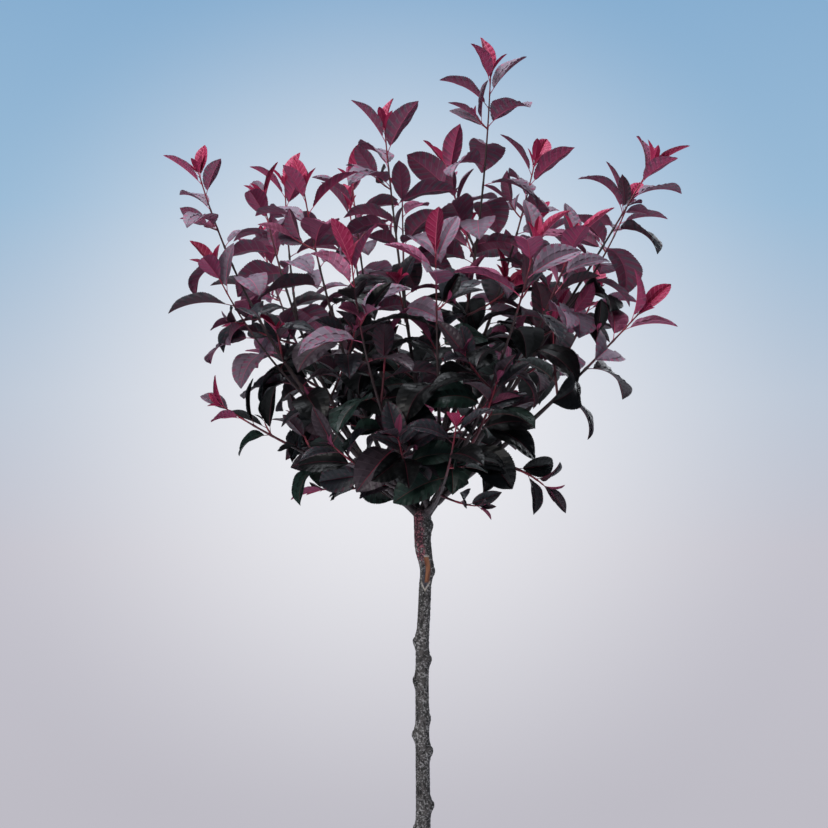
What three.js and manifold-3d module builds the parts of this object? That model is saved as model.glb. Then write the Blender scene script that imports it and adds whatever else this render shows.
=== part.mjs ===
// A purple leaf plum grown as a small standard: a slim grafted stem under a head of leafy shoots.
// Millimetres, +Z up. The origin is on the flat cut under the stem, where it stands on the ground.
// +X is to the right and +Y to the back, as the plant is usually looked at.
import * as THREE from 'three';
import { mergeVertices } from 'three/addons/utils/BufferGeometryUtils.js';
import Module from 'manifold-3d';

const wasm = await Module();
wasm.setup();

// Driving sizes of the stem, from its cut foot to the rounded head that the limbs spring from.
// It tapers up to the graft and swells again above it.
const stemHeight = 806;
const groundRadius = 10.3;
const graftRadius = 6.4;
const graftHeight = 722;
const swellsFrom = 730;
const swellsTo = 764;
const scionRadius = 8.7;
const taperPower = 0.9;
const headFlat = 0.12;
const stemSides = 12;
const stemRows = 52;
const rowCrowding = 1.4;

// The root flare: how far it spreads, how high it reaches, its lobes and how deep they are
const flare = { width: 5.2, height: 24, lobes: 5, lobeShare: 0.25 };

// The stem's slight sway to the right and to the back, in millimetres and in radians of swing
const sway = { right: 1.6, rightSwing: 6.1, topLean: 2, back: 1.4, backSwing: 4.3, backStart: 0.5 };

// Crooks to the right, at the graft and above it: their height, how far they swing out, and half their span
const crooks = [
  [720, 3, 45],
  [742, 2.5, 14],
];

// Old bud scars that stand out of the bark: height, the side they face in degrees, how far they stand out
const scars = [
  [787, 350, 3.2],
  [738, 8, 2.2],
  [665, 176, 3.6],
  [646, 5, 3.4],
  [624, 186, 3.2],
  [584, 350, 2.0],
  [567, 172, 4.0],
  [550, 12, 4.2],
  [493, 2, 4.4],
  [468, 184, 3.4],
];
const scarHalfHeight = 7;
const scarRoundness = 3;

// Older scars lower down, each a turn on from the one before
const oldScars = { from: 70, to: 440, spacing: 44, turn: 141, proud: 2.6, proudVaries: 0.9 };

// Limbs and shoots. The crown's floor is lower out to the right, where a shoot droops.
const gap = 0.3;
const crownFloor = 807;
const outerFloor = 778;
const floorReach = 95;
const limbSides = 6;
const limbSteps = 3;
const limbFoot = 4;
const limbTaper = 0.86;
const limbEnd = 2.2;
const twigSteps = 7;
const twigTip = 1.2;
const twigRadius = 1.5;
const rootClearance = 8;
const sideBow = 0.05;
const sideVigour = 0.95;

// Short leafy spurs on the lower part of a stem
const spur = {
  share: 0.55,
  first: 24,
  spacing: 62,
  turn: 65,
  varies: 30,
  angle: 51.6,
  length: [42, 74],
  bow: 0.04,
  vigour: 0.86,
  steps: 3,
};

// Shoots that bear smaller leaves than the rest, as a share of the full size
const vigourOf = {
  left: 0.8,
  left_inner: 0.82,
  inner_left: 0.88,
  low_left: 0.72,
  low_right: 0.72,
  low_front_left: 0.84,
  low_front: 0.82,
  low_inner: 0.82,
  inner_right: 0.88,
  low_back_left: 0.86,
  low_back: 0.86,
  low_back_right: 0.86,
};

// A leaf, from its root in the twig to its tip
const leaf = {
  length: 73,
  youngShare: 0.7,
  widthShare: 0.56,
  youngWidthShare: 0.46,
  widest: 0.56,
  thickest: 0.32,
  fold: 20,
  thickness: 1.6,
  sunk: 0.2,
};

// How leaves stand along a twig, from the youngest at its tip to the oldest lower down
const habit = {
  first: 4,
  spacing: 21,
  youngSpacing: 8,
  youngReach: 45,
  turn: 137.5,
  youngAngle: 22,
  oldAngle: 60,
  youngBend: 12,
  oldBend: 82,
  youngLift: 0.2,
  ageReach: 105,
  retries: 5,
  retryTurn: 52,
  clearance: 1.0,
  lowest: 0.02,
  highest: 0.985,
  ageing: 0.7,
  facesUp: 0.5,
};

// A full-grown leaf's own rise where it hangs low in the crown and where it stands out level above,
// the heights between which that changes, and how strongly a leaf takes it
const level = { hangingRise: -0.4, rise: 0.3, hangingBelow: 830, above: 930, share: 0.5 };

// How much a leaf may differ from that: degrees for the first three, then shares
const varies = { side: 12, angle: 9, roll: 30, length: 0.12, bend: 0.35 };

// The shoots, each a bare limb that goes on as a leafy stem: name, what it springs from, where along that,
// its tip, how far it swings out of the straight line as a share of its length, the share of its length
// that is bare limb, and the side that its youngest leaf faces.
const shoots = [
  ['top', 'stem', 0.99, [71, 30, 1268], 0.032, 0.27, 110],
  ['left', 'stem', 0.986, [-234, -30, 1154], 0.075, 0.31, 60],
  ['right', 'stem', 0.98, [240, 10, 1166], 0.01, 0.36, 0],
  ['front', 'stem', 0.984, [110, -150, 1075], 0.06, 0.27, 340],
  ['back', 'stem', 0.984, [-84, 215, 1140], 0.08, 0.25, 90],
  ['middle', 'top', 0.3, [-41, -10, 1200], 0.01, 0.22, 60],
  ['middle_left', 'left', 0.2, [-123, -70, 1132], 0.04, 0.22, 90],
  ['inner_left', 'back', 0.36, [-77, 70, 1152], 0.03, 0.18, 300],
  ['left_inner', 'left', 0.55, [-171, 40, 1132], 0.05, 0.2, 340],
  ['back_left', 'left', 0.36, [-178, 170, 1085], 0.07, 0.22, 30],
  ['front_left', 'front', 0.2, [-72, -150, 1053], 0.1, 0.2, 210],
  ['front_middle', 'front', 0.5, [11, -130, 1067], 0.04, 0.16, 270],
  ['top_right', 'top', 0.62, [120, 80, 1174], 0.03, 0.18, 60],
  ['right_inner', 'right', 0.55, [154, -50, 1082], 0.03, 0.45, 340],
  ['right_back', 'right', 0.36, [190, 125, 1039], 0.08, 0.6, 100],
  ['lower_right', 'right', 0.16, [222, -50, 1008], 0.02, 0.5, 80],
  ['back_right', 'back', 0.25, [130, 200, 1120], 0.09, 0.22, 70],
  ['low_right', 'lower_right', 0.42, [124, -60, 829], -0.1, 0.3, 80],
  ['low_left', 'left', 0.35, [-208, -60, 912], 0.03, 0.3, 320],
  ['low_front_left', 'front_left', 0.3, [-92, -118, 872], 0.05, 0.2, 60],
  ['low_front', 'front', 0.16, [31, -175, 893], 0.1, 0.25, 255],
  ['low_inner', 'front_left', 0.75, [-26, -150, 880], 0.05, 0.2, 225],
  ['inner_right', 'front', 0.8, [72, -120, 935], 0.08, 0.2, 300],
  ['low_back_left', 'back', 0.12, [-116, 140, 908], 0.08, 0.25, 120],
  ['low_back', 'back', 0.6, [8, 195, 905], 0.08, 0.18, 100],
  ['low_back_right', 'back_right', 0.4, [90, 150, 913], 0.08, 0.2, 60],
];

// Longer side twigs of a shoot: where along its leafy stem, and the twig's own tip
const sideTwigs = {
  top: [[0.45, [26, 100, 1173]]],
  left: [[0.08, [-213, -65, 1049]]],
  right: [[0.3, [220, 60, 1130]]],
  middle: [[0.36, [-23, 50, 1138]]],
  left_inner: [[0.45, [-150, 75, 1150]]],
};

const up = new THREE.Vector3(0, 0, 1);
const backward = new THREE.Vector3(0, 1, 0);
const { lerp, degToRad, clamp, smoothstep } = THREE.MathUtils;

// The same numbers come up on every run.
function diceFrom(seed) {
  let state = seed * 7919 + 17;
  return () => {
    state = (state * 16807) % 2147483647;
    return state / 2147483647;
  };
}

function closedShape(geometry) {
  geometry.deleteAttribute('normal');
  geometry.deleteAttribute('uv');
  return mergeVertices(geometry, 1e-5);
}

function solidOf(geometry) {
  return new wasm.Manifold(new wasm.Mesh({
    numProp: 3,
    vertProperties: new Float32Array(geometry.attributes.position.array),
    triVerts: new Uint32Array(geometry.index.array),
  }));
}

function geometryOf(solid) {
  const mesh = solid.getMesh();
  const geometry = new THREE.BufferGeometry();
  geometry.setAttribute('position', new THREE.BufferAttribute(new Float32Array(mesh.vertProperties), 3));
  geometry.setIndex(new THREE.BufferAttribute(new Uint32Array(mesh.triVerts), 1));
  geometry.computeVertexNormals();
  return geometry;
}

function largestPiece(solid) {
  const pieces = solid.decompose();
  return pieces.reduce((most, piece) => (piece.volume() > most.volume() ? piece : most));
}

// Stem

function stemLean(height) {
  const share = height / stemHeight;
  let right = sway.right * Math.sin(sway.rightSwing * share) - sway.topLean * share ** 6;
  for (const [crookHeight, swing, span] of crooks) {
    right += swing * Math.exp(-(((height - crookHeight) / span) ** 2));
  }
  const back = Math.sin(sway.backSwing * share + sway.backStart) - Math.sin(sway.backStart);
  return new THREE.Vector3(right, sway.back * back, height);
}

function allScars() {
  const old = [];
  for (let height = oldScars.from; height < oldScars.to; height += oldScars.spacing) {
    const side = height / oldScars.spacing * oldScars.turn;
    old.push([height, side, oldScars.proud + oldScars.proudVaries * Math.sin(height)]);
  }
  return [...scars, ...old];
}

function stemRadius(height, angle) {
  const share = Math.min(height / graftHeight, 1);
  let radius = lerp(groundRadius, graftRadius, share ** taperPower);
  radius += (scionRadius - graftRadius) * smoothstep(height, swellsFrom, swellsTo);
  const lobe = 1 - flare.lobeShare + flare.lobeShare * Math.cos(flare.lobes * angle);
  radius += flare.width * Math.exp(-height / flare.height) * lobe;
  for (const [scarHeight, side, proud] of allScars()) {
    const along = (height - scarHeight) / scarHalfHeight;
    const round = Math.max(Math.cos(angle - degToRad(side)), 0);
    radius += proud * Math.exp(-along * along) * round ** scarRoundness;
  }
  const belowTop = clamp((stemHeight - height) / scionRadius, 0, 1);
  return radius * Math.sqrt(lerp(headFlat, 1, 1 - (1 - belowTop) ** 2));
}

function stemShape(spare) {
  const shape = closedShape(new THREE.CylinderGeometry(1, 1, 1, stemSides, stemRows));
  const place = shape.attributes.position;
  for (let i = 0; i < place.count; i += 1) {
    const [x, z] = [place.getX(i), place.getZ(i)];
    const height = stemHeight * (1 - (0.5 - place.getY(i)) ** rowCrowding);
    const angle = Math.atan2(x, z);
    const reach = Math.hypot(x, z) * (stemRadius(height, angle) + spare);
    const centre = stemLean(height);
    const lift = spare * (place.getY(i) + 0.5);
    place.setXYZ(i, centre.x + reach * Math.cos(angle), centre.y + reach * Math.sin(angle), height + lift);
  }
  return solidOf(shape);
}

// Limbs and twigs

function shootCurve(start, tip, bow) {
  const chord = tip.clone().sub(start);
  const flat = new THREE.Vector3(chord.x, chord.y, 0).normalize();
  const rise = chord.z / chord.length();
  const outward = flat.clone().multiplyScalar(rise).addScaledVector(up, -Math.sqrt(1 - rise * rise));
  const bend = start.clone().lerp(tip, 0.5).addScaledVector(outward, 2 * bow * chord.length());
  return new THREE.QuadraticBezierCurve3(start, bend, tip);
}

function frameAt(curve, t) {
  const along = curve.getTangent(t);
  const side = backward.clone().cross(along).normalize();
  return { along, side, back: along.clone().cross(side) };
}

function tube(curve, from, to, startRadius, endRadius, sides, steps) {
  const shape = closedShape(new THREE.CylinderGeometry(1, 1, 1, sides, steps));
  const place = shape.attributes.position;
  for (let i = 0; i < place.count; i += 1) {
    const share = place.getY(i) + 0.5;
    const t = lerp(from, to, share);
    const { side, back } = frameAt(curve, t);
    const radius = lerp(startRadius, endRadius, share);
    const point = curve.getPoint(t);
    point.addScaledVector(side, place.getZ(i) * radius).addScaledVector(back, place.getX(i) * radius);
    place.setXYZ(i, point.x, point.y, point.z);
  }
  return solidOf(shape);
}

// Leaves

function leafPath(leafPlan, t) {
  const { root, along, face, length, bend } = leafPlan;
  const turned = Math.max(bend, 0.01) * t;
  const radius = length / Math.max(bend, 0.01);
  return {
    point: root.clone()
      .addScaledVector(along, radius * Math.sin(turned))
      .addScaledVector(face, -radius * (1 - Math.cos(turned))),
    face: face.clone().multiplyScalar(Math.cos(turned)).addScaledVector(along, Math.sin(turned)),
  };
}

function leafSolid(plan, spare) {
  const side = plan.along.clone().cross(plan.face);
  const half = plan.width / 2 + spare;
  const thick = leaf.thickness / 2 + spare;
  const fold = degToRad(leaf.fold);
  const spot = (t, across, raised) => {
    const { point, face } = leafPath(plan, t);
    return point.addScaledVector(side, across).addScaledVector(face, raised);
  };
  const [root, left, right, upper, lower, tip] = [0, 1, 2, 3, 4, 5];
  const shape = new THREE.BufferGeometry().setFromPoints([
    plan.root.clone().addScaledVector(plan.along, -leaf.sunk),
    spot(leaf.widest, half * Math.cos(fold), half * Math.sin(fold)),
    spot(leaf.widest, -half * Math.cos(fold), half * Math.sin(fold)),
    spot(leaf.thickest, 0, thick),
    spot(leaf.thickest, 0, -thick),
    spot(1 + spare / plan.length, 0, 0),
  ]);
  shape.setIndex([
    root, left, upper, root, upper, right, left, tip, upper, upper, tip, right,
    root, lower, left, root, right, lower, left, lower, tip, right, tip, lower,
  ]);
  return solidOf(shape);
}

// A leaf's place, heading and size, from how far back it stands from its twig's tip.
function leafPlan(twig, fromTip, side, dice) {
  const draws = [dice(), dice(), dice(), dice(), dice()].map((draw) => 2 * draw - 1);
  const t = clamp(1 - fromTip / twig.length, habit.lowest, habit.highest);
  const frame = frameAt(twig.curve, t);
  const age = clamp(fromTip / habit.ageReach, 0, 1) ** habit.ageing;
  const around = degToRad(side + varies.side * draws[0]);
  const outward = frame.side.clone().multiplyScalar(Math.cos(around))
    .addScaledVector(frame.back, Math.sin(around));
  const angle = degToRad(lerp(habit.youngAngle, habit.oldAngle, age) + varies.angle * draws[1]);
  const root = twig.curve.getPoint(t);
  const lit = clamp((root.z - level.hangingBelow) / (level.above - level.hangingBelow), 0, 1);
  const along = frame.along.clone().multiplyScalar(Math.cos(angle)).addScaledVector(outward, Math.sin(angle));
  const rise = lerp(level.hangingRise, level.rise, lit);
  along.setZ(lerp(along.z + habit.youngLift * (1 - age), rise, level.share * age)).normalize();
  const face = frame.along.clone().multiplyScalar(Math.sin(angle))
    .addScaledVector(outward, -Math.cos(angle))
    .addScaledVector(up, habit.facesUp);
  face.addScaledVector(along, -face.dot(along)).normalize();
  face.applyAxisAngle(along, degToRad(varies.roll * draws[2]));
  const grownUp = clamp(fromTip / habit.youngReach, 0, 1);
  const grown = leaf.length * lerp(leaf.youngShare, 1, grownUp);
  const length = twig.vigour * grown * (1 + varies.length * draws[3]);
  const bend = degToRad(lerp(habit.youngBend, habit.oldBend, age) * (1 + varies.bend * draws[4]));
  const width = length * lerp(leaf.youngWidthShare, leaf.widthShare, grownUp);
  return { root, along, face, length, width, bend };
}

// What already stands in the crown, so that nothing new grows into it
const placed = [];

function boxesMeet(a, b) {
  return [0, 1, 2].every((i) => a.min[i] <= b.max[i] && b.min[i] <= a.max[i]);
}

function place(solid) {
  placed.push({ solid, box: solid.boundingBox() });
}

function touches(solid, carrier) {
  const box = solid.boundingBox();
  const floor = (box.min[0] + box.max[0]) / 2 > floorReach ? outerFloor : crownFloor;
  return box.min[2] < floor || placed.some((other) => other.solid !== carrier
    && boxesMeet(box, other.box)
    && !other.solid.intersect(solid).isEmpty());
}

// Stem and limbs

const bark = new THREE.MeshStandardMaterial({ color: 0x47423f, roughness: 0.85, metalness: 0 });
const shootBark = new THREE.MeshStandardMaterial({ color: 0x3a2b2e, roughness: 0.75, metalness: 0 });
const foliage = new THREE.MeshStandardMaterial({ color: 0x4a2436, roughness: 0.55, metalness: 0 });

const plant = new THREE.Group();

function addNode(name, solid, material) {
  const mesh = new THREE.Mesh(geometryOf(solid), material.clone());
  mesh.name = name;
  plant.add(mesh);
}

const stem = stemShape(0);
place(stem);
addNode('stem', stem, bark);

const grown = new Map();
const roomForLimbs = [stemShape(gap)];

for (const [name, carrier, at, tip, bow, bare, turn] of shoots) {
  const parent = grown.get(carrier);
  const start = parent ? parent.curve.getPoint(at * parent.bare) : stemLean(at * stemHeight);
  const foot = parent ? limbTaper * lerp(parent.foot, limbEnd, at) : limbFoot;
  const curve = shootCurve(start, new THREE.Vector3(...tip), bow);
  const limbOf = (spare) => tube(curve, 0, bare, foot + spare, limbEnd + spare, limbSides, limbSteps);
  const solid = largestPiece(roomForLimbs.reduce((left, room) => left.subtract(room), limbOf(0)));
  roomForLimbs.push(limbOf(gap));
  grown.set(name, { name, curve, foot, bare, turn });
  place(solid);
  addNode(`limb_${name}`, solid, shootBark);
}

// Leafy shoots: first every stem and its longer side twigs, then the short spurs, then the leaves

function twigAlong(curve, from, vigour, startRadius, steps) {
  const solid = tube(curve, from, 1, startRadius, twigTip, 3, steps);
  const length = curve.getLength();
  return { curve, solid, bare: from + rootClearance / length, length, vigour };
}

const masses = [];
for (const [index, shoot] of [...grown.values()].entries()) {
  const from = shoot.bare + gap / shoot.curve.getLength();
  const mass = { name: shoot.name, turn: shoot.turn, dice: diceFrom(index + 1), from, twigs: [] };
  mass.twigs.push(twigAlong(shoot.curve, from, vigourOf[shoot.name] ?? 1, limbEnd, twigSteps));
  for (const [at, tip] of sideTwigs[shoot.name] ?? []) {
    const curve = shootCurve(shoot.curve.getPoint(lerp(from, 1, at)), new THREE.Vector3(...tip), sideBow);
    mass.twigs.push(twigAlong(curve, 0, sideVigour, twigRadius, twigSteps));
  }
  mass.twigs.forEach((twig) => place(twig.solid));
  masses.push(mass);
}

for (const { turn, dice, twigs, from } of masses) {
  const [main] = twigs;
  const leafy = main.length * (1 - from);
  const spurs = Math.floor(spur.share * leafy / spur.spacing);
  const angle = degToRad(spur.angle);
  for (let i = 0; i < spurs; i += 1) {
    const [longer, turned] = [dice(), dice()];
    const around = degToRad(turn + spur.turn + i * habit.turn + spur.varies * turned);
    const t = lerp(from, 1, (spur.first + i * spur.spacing) / leafy);
    const { along, side, back } = frameAt(main.curve, t);
    const heading = along.clone().multiplyScalar(Math.cos(angle))
      .addScaledVector(side, Math.sin(angle) * Math.cos(around))
      .addScaledVector(back, Math.sin(angle) * Math.sin(around));
    const start = main.curve.getPoint(t);
    const tip = start.clone().addScaledVector(heading, lerp(...spur.length, longer));
    const vigour = spur.vigour * main.vigour;
    const twig = twigAlong(shootCurve(start, tip, spur.bow), 0, vigour, twigRadius, spur.steps);
    if (!touches(twig.solid, main.solid)) {
      twigs.push(twig);
      place(twig.solid);
    }
  }
}

for (const { name, turn, dice, twigs } of masses) {
  const leaves = [];
  for (const [twigIndex, twig] of twigs.entries()) {
    let fromTip = habit.first;
    for (let count = 0; fromTip < twig.length * (1 - twig.bare); count += 1) {
      const plan = leafPlan(twig, fromTip, turn + twigIndex * spur.turn + count * habit.turn, dice);
      const axis = frameAt(twig.curve, clamp(1 - fromTip / twig.length, 0, 1)).along;
      for (let tries = 0; tries < habit.retries; tries += 1) {
        if (!touches(leafSolid(plan, habit.clearance), twig.solid)) {
          const solid = leafSolid(plan, 0);
          place(solid);
          leaves.push(solid);
          break;
        }
        const turned = degToRad(habit.retryTurn * (tries + 1) * (tries % 2 ? 1 : -1));
        plan.along.applyAxisAngle(axis, turned);
        plan.face.applyAxisAngle(axis, turned);
      }
      fromTip += lerp(habit.youngSpacing, habit.spacing, clamp(fromTip / habit.youngReach, 0, 1));
    }
  }
  const solid = [...twigs.map((twig) => twig.solid), ...leaves].reduce((whole, piece) => whole.add(piece));
  addNode(`leaves_${name}`, largestPiece(solid), foliage);
}

export default plant;
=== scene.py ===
import math

import bmesh
import bpy
import numpy as np
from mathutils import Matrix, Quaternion, Vector, noise
from mathutils.bvhtree import BVHTree


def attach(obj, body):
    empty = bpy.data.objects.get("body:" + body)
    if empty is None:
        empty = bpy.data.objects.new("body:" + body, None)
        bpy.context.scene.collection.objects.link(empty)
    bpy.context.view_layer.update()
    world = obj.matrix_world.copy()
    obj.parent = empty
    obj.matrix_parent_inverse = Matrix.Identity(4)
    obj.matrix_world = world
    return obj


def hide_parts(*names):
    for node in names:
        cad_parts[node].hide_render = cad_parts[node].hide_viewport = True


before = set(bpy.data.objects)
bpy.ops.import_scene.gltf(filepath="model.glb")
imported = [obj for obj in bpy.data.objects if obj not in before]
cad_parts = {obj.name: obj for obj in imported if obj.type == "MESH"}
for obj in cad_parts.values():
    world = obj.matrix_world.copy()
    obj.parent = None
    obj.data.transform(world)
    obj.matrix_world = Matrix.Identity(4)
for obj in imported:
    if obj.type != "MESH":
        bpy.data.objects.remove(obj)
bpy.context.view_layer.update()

# The plant is a purple leaf plum grown as a small standard. Its own sizes are in millimetres, as its source
# has them, and mm turns them into Blender's metres.
mm = 0.001


# The stem. One slim pole of living wood in grey-brown bark with pale lenticels and knobbly bud scars. It was
# grafted near the top: below the swollen head a strip of wood shows in the cut, with a pale callus round it.
stem_height = 806
ground_radius = 10.3
graft_radius = 6.4
graft_height = 722
swells_from, swells_to = 730, 764
scion_radius = 8.7
taper_power = 0.9
head_flat = 0.12
flare_width = 5.2
flare_height = 24
flare_lobes = 5
flare_lobe_share = 0.25

# The wall is cut across 9 times, then each part of it 55 times, and its rings lie closer towards the top.
# Edges that turn by more than this many degrees look sharp.
stem_sides = 84
stem_cuts = (9, 55)
rings_gather = 1.15
tube_sharp_from = 55

# The slight sway to the right and to the back, in millimetres and in radians of swing
sway_right, right_swing, top_lean = 1.6, 6.1, 2
sway_back, back_swing, back_start = 1.4, 4.3, 0.5

# Crooks to the right, at the graft and above it: their height, how far they swing out, and half their span
crooks = [(720, 3, 45), (742, 2.5, 14)]

# A bud scar's height, the side it faces in degrees, and how far it stands out. Older ones follow lower down,
# evenly spaced and turned.
scars = [
    (787, 350, 3.2),
    (738, 8, 2.2),
    (665, 176, 3.6),
    (646, 5, 3.4),
    (624, 186, 3.2),
    (584, 350, 2.0),
    (567, 172, 4.0),
    (550, 12, 4.2),
    (493, 2, 4.4),
    (468, 184, 3.4),
]
old_scars_from, old_scars_to, old_scar_every = 70, 440, 44
old_scar_turn = 141
old_scar_proud, old_scar_varies = 2.6, 0.9
for height in range(old_scars_from, old_scars_to, old_scar_every):
    proud = old_scar_proud + old_scar_varies * math.sin(height)
    scars.append((height, height / old_scar_every * old_scar_turn, proud))
scar_half_height = 7
scar_reach = 3

# The groove over a scar: its depth, and its place and width in half heights of the scar
scar_lip = 0.9
lip_at, lip_width = 0.75, 0.16

# Marks on the stem's front, across it and up it: from where, to where, and how soft the edge is
flaking_across, flaking_up = (-9.5, 1.2, 2.0), (750, 803, 6)
wood_across, wood_up = (-1.2, 4.0, 0.5), (727, 754, 0.8)
shaded_cut_across, shaded_cut_up = (-3.8, 4.4, 0.5), (719, 742, 4)
cap_across, cap_up = (-0.5, 4.8, 0.6), (754, 755.2, 0.5)

# The callus is a V, with its foot at this height and arms that rise so steeply. It has a cap over the wood,
# and between its arms the cut is sunk and darkened with painted shade.
callus_foot = 719
callus_slope = 1.9
callus_width = 1.05
callus_across = (-4.4, 4.8, 0.5)
shaded_cut_edge = (0.8, 2)
front_edge = (0.0, 0.35)

# Noise has so many bumps a millimetre across the stem and up it, and an edge is where a mark starts in it and
# where the mark is full. Lenticels stand in patches.
lenticel_noise, lenticel_edge = (0.42, 0.85), (0.2, 0.42)
patch_noise, patch_edge, patch_slice = (0.08, 0.05), (-0.35, 0.25), 3
grain_noise = (0.9, 0.16)
plate_noise, plate_shift = (0.3, 0.45), 40
crumb_noise, flake_noise = (0.85, 0.85), (0.55, 0.55)

# How far the roughness and each mark stand out of the bark, in millimetres, and how much smoother wood is.
# The relief fades out at the ground.
grain_rise, plate_rise, crumb_rise = 0.2, 0.34, 0.14
flake_rise, flake_crumb_rise = 0.5, 0.25
lenticel_rise, wood_rise, callus_rise, cut_rise = 0.38, -0.75, 0.7, -0.4
wood_smoothing = 0.85
relief_fades = 3


def clamp(value, low=0.0, high=1.0):
    return min(max(value, low), high)


def lerp(start, end, share):
    return start + (end - start) * share


def smooth(value, low, high):
    share = clamp((value - low) / (high - low))
    return share * share * (3 - 2 * share)


def between(value, low, high, edge):
    return smooth(value, low - edge, low + edge) * (1 - smooth(value, high - edge, high + edge))


def stem_centre(height):
    share = height / stem_height
    right = sway_right * math.sin(right_swing * share) - top_lean * share**6
    for crook_height, swing, span in crooks:
        right += swing * math.exp(-(((height - crook_height) / span) ** 2))
    back = sway_back * (math.sin(back_swing * share + back_start) - math.sin(back_start))
    return Vector((right, back, height))


def stem_radius(height, angle):
    radius = lerp(ground_radius, graft_radius, min(height / graft_height, 1) ** taper_power)
    radius += (scion_radius - graft_radius) * smooth(height, swells_from, swells_to)
    lobe = 1 - flare_lobe_share + flare_lobe_share * math.cos(flare_lobes * angle)
    radius += flare_width * math.exp(-height / flare_height) * lobe
    for scar_height, side, proud in scars:
        along = (height - scar_height) / scar_half_height
        if abs(along) < scar_reach:
            facing = max(math.cos(angle - math.radians(side)), 0)
            radius += proud * math.exp(-along * along) * facing**3
            radius -= scar_lip * math.exp(-((along - lip_at) / lip_width) ** 2) * facing**9
    below_top = clamp((stem_height - height) / scion_radius)
    return radius * math.sqrt(lerp(head_flat, 1, 1 - (1 - below_top) ** 2))


def noise_at(place, scale, shift=0):
    """Smooth noise from -1 to 1 at a spot on the stem."""
    across, up = scale
    return noise.noise(Vector((place.x * across + shift, place.y * across, place.z * up)))


def bark_marks(place, angle):
    """How much of each mark lies at a spot: lenticel, flaking scion bark, bare wood, callus, cut in painted
    shade.
    """
    across, height = place.x, place.z
    front = smooth(-math.sin(angle), *front_edge)
    patches = noise.noise(Vector((across * patch_noise[0], patch_slice, height * patch_noise[1])))
    lenticel = smooth(noise_at(place, lenticel_noise), *lenticel_edge) * smooth(patches, *patch_edge)
    flaking = between(height, *flaking_up) * front * between(across, *flaking_across)
    wood = between(height, *wood_up) * between(across, *wood_across) * front
    off_line = height - callus_foot - callus_slope * abs(across)
    callus = math.exp(-((off_line / callus_width) ** 2)) * between(across, *callus_across)
    callus = max(callus, between(height, *cap_up) * between(across, *cap_across)) * front
    cut = smooth(off_line, *shaded_cut_edge) * between(height, *shaded_cut_up) * between(across, *shaded_cut_across)
    return lenticel * (1 - wood), flaking, wood, callus, cut * front * (1 - wood)


def bark_relief(place, marks):
    """How far the bark stands out at a spot, from its grain, plates, crumbs and marks."""
    lenticel, flaking, wood, callus, cut = marks
    crumbs = noise_at(place, crumb_noise)
    rough = grain_rise * noise_at(place, grain_noise) + crumb_rise * crumbs
    rough += plate_rise * noise_at(place, plate_noise, plate_shift)
    rough += flaking * (flake_rise * abs(noise_at(place, flake_noise)) + flake_crumb_rise * crumbs)
    return (rough * (1 - wood_smoothing * wood) + lenticel_rise * lenticel + wood_rise * wood
            + callus_rise * callus + cut_rise * cut)


def add_tube(name, sides, cuts):
    """A closed upright tube, 1 tall and 1 in radius. Each number of cuts divides every part of its wall."""
    bpy.ops.object.select_all(action="DESELECT")
    bpy.ops.mesh.primitive_cylinder_add(vertices=sides, radius=1, depth=1, end_fill_type="TRIFAN")
    tube = bpy.context.object
    tube.name = name
    bpy.ops.object.mode_set(mode="EDIT")
    bpy.ops.mesh.select_mode(type="EDGE")
    for number in cuts:
        bpy.ops.mesh.select_all(action="DESELECT")
        for edge in bmesh.from_edit_mesh(tube.data).edges:
            edge.select_set(abs(edge.verts[0].co.z - edge.verts[1].co.z) > 0.0001)
        bmesh.update_edit_mesh(tube.data)
        bpy.ops.mesh.subdivide(number_cuts=number)
    bpy.ops.object.mode_set(mode="OBJECT")
    bpy.ops.object.shade_smooth_by_angle(angle=math.radians(tube_sharp_from))
    return tube


def linear(level):
    share = level / 255
    return share / 12.92 if level < 11 else ((share + 0.055) / 1.055) ** 2.4


def from_srgb(red, green, blue):
    """A colour as it looks on a screen, from 0 to 255, in the linear numbers that a shader takes."""
    return linear(red), linear(green), linear(blue), 1


class Wire:
    """The output of a shader node, so that maths on it is written as a plain expression."""

    def __init__(self, owner, socket):
        self.owner = owner
        self.socket = socket

    def maths(self, operation, first, second):
        return self.owner.node("ShaderNodeMath", {"operation": operation}, {0: first, 1: second})

    def __add__(self, other):
        return self.maths("ADD", self, other)

    def __radd__(self, other):
        return self.maths("ADD", other, self)

    def __sub__(self, other):
        return self.maths("SUBTRACT", self, other)

    def __rsub__(self, other):
        return self.maths("SUBTRACT", other, self)

    def __mul__(self, other):
        return self.maths("MULTIPLY", self, other)

    def __rmul__(self, other):
        return self.maths("MULTIPLY", other, self)


def set_stops(ramp, stops):
    """Gives a colour ramp its own stops in place of the two that it starts with."""
    for index, (at, levels) in ((0, stops[0]), (1, stops[-1])):
        ramp[index].position = at
        ramp[index].color = from_srgb(*levels)
    for at, levels in stops[1:-1]:
        ramp.new(at).color = from_srgb(*levels)


class Nodes:
    """The shader nodes of a material or of the sky."""

    def __init__(self, tree):
        self.tree = tree
        self.nodes = tree.nodes

    def feed(self, socket, value):
        if isinstance(value, Wire):
            self.tree.links.new(value.socket, socket)
        else:
            socket.default_value = value

    def node(self, kind, settings, sockets, output=0):
        made = self.nodes.new(kind)
        for setting, value in settings.items():
            if setting == "stops":
                set_stops(made.color_ramp.elements, value)
            else:
                setattr(made, setting, value)
        for socket, value in sockets.items():
            self.feed(made.inputs[socket], value)
        return Wire(self, made.outputs[output])

    def step(self, value, low, high):
        return self.node("ShaderNodeMapRange", {"interpolation_type": "SMOOTHSTEP"},
                         {"Value": value, "From Min": low, "From Max": high})

    def mix(self, start, end, factor):
        return self.node("ShaderNodeMix", {"data_type": "RGBA"}, {0: factor, 6: start, 7: end}, 2)


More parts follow.
